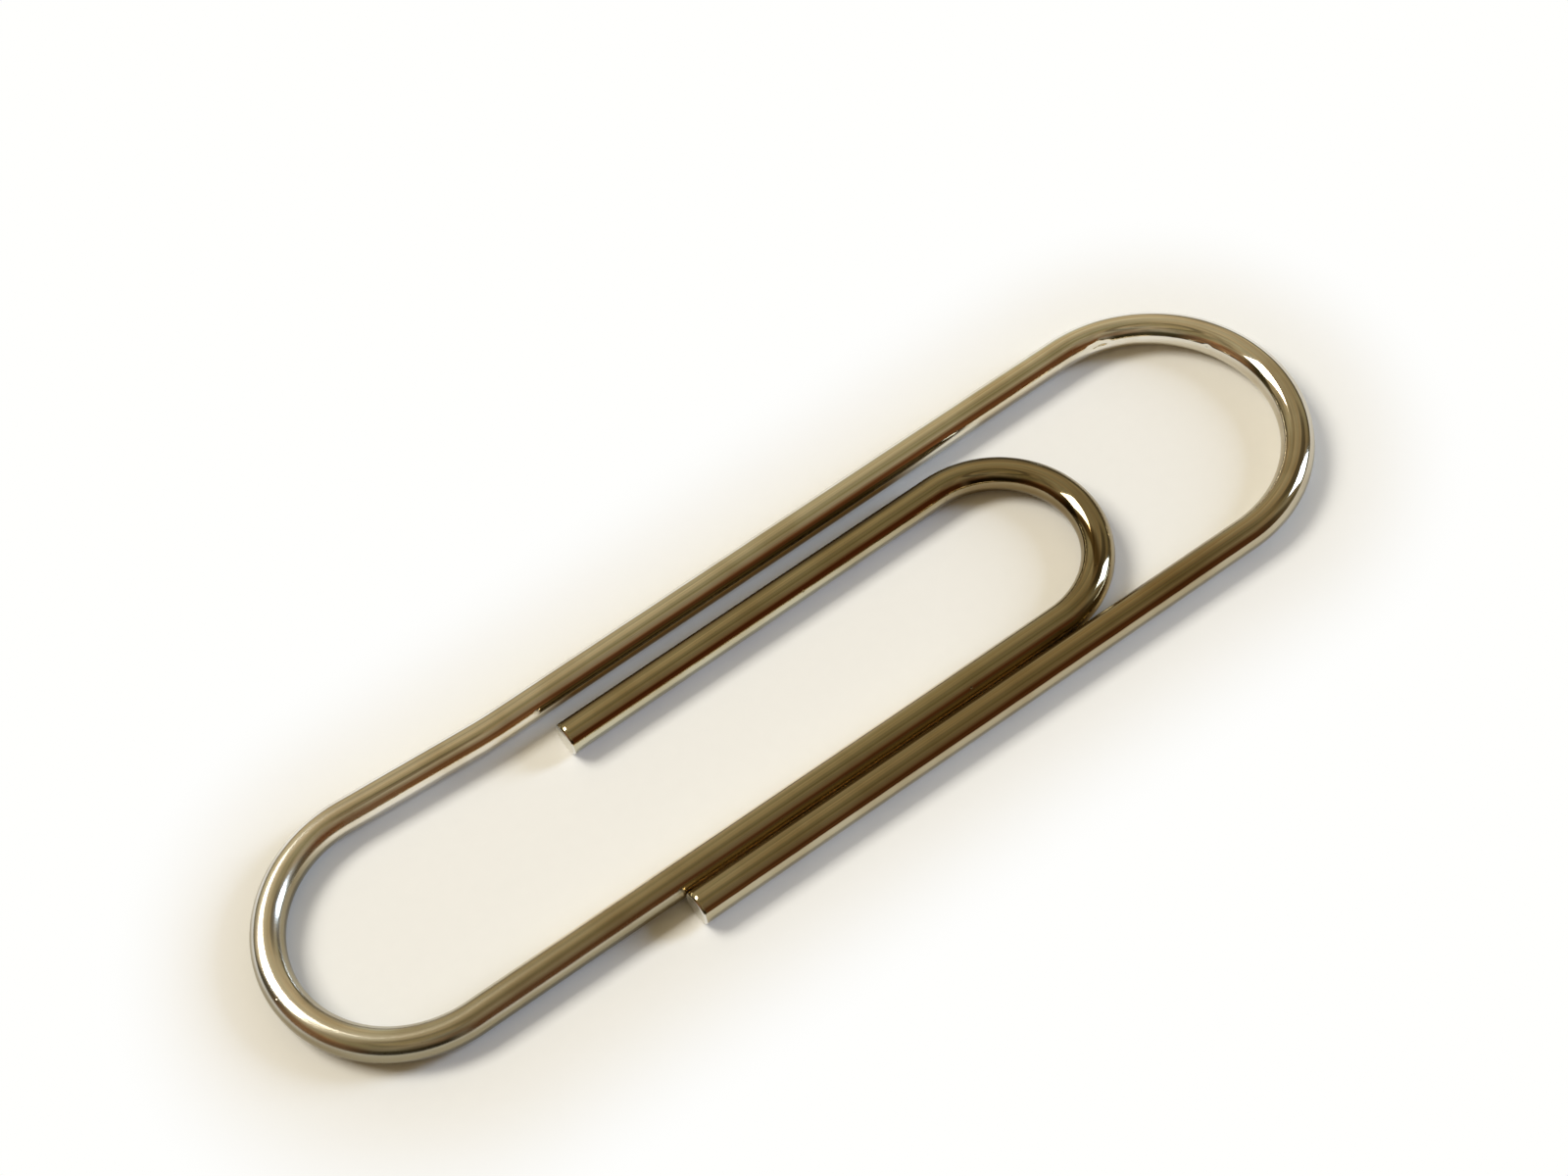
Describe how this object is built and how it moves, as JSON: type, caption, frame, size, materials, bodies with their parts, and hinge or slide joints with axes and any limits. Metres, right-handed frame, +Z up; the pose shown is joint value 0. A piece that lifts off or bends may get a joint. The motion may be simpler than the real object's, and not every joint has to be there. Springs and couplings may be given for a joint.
{
  "type": "paper clip",
  "caption": "Bright nickel-plated wire paper clip with a long outer loop, a shorter inner tongue that springs open over sheets of paper, and sheared free ends.",
  "frame": {"origin": "under the middle of the clip, on the surface that it lies on", "axes": "+X along the clip from the tail bend to the outer bend, +Y towards the long leg, +Z up out of the surface"},
  "size_m": [0.033, 0.0091, 0.0009],
  "materials": {
    "nickel_wire": "bright nickel plate over drawn steel wire"
  },
  "bodies": {
    "frame_loop": {"long_leg": "nickel_wire", "outer_bend": "nickel_wire", "tail_bend": "nickel_wire"},
    "outer_leg": {"outer_leg": "nickel_wire"},
    "inner_loop": {"inner_leg": "nickel_wire", "tongue_bend": "nickel_wire"},
    "tongue_leg": {"tongue_leg": "nickel_wire"}
  },
  "joints": [
    {"name": "tongue_lift", "type": "hinge", "parent": "frame_loop", "child": "inner_loop", "pos_m": [-0.01603, 0.00049, 0.00047], "axis": [0, -1, 0], "range_deg": [-9, 9], "stiffness_Nm_per_rad": 0.34, "deforming": ["tail_bend"]},
    {"name": "outer_leg_flex", "type": "hinge", "parent": "frame_loop", "child": "outer_leg", "pos_m": [0.01603, 0, 0.00047], "axis": [0, 1, 0], "range_deg": [-6, 6], "stiffness_Nm_per_rad": 0.33, "deforming": ["outer_bend"]},
    {"name": "tongue_leg_flex", "type": "hinge", "parent": "inner_loop", "child": "tongue_leg", "pos_m": [0.00905, -0.00031, 0.00047], "axis": [0, 1, 0], "range_deg": [-6, 6], "stiffness_Nm_per_rad": 0.45, "deforming": ["tongue_bend"]}
  ]
}
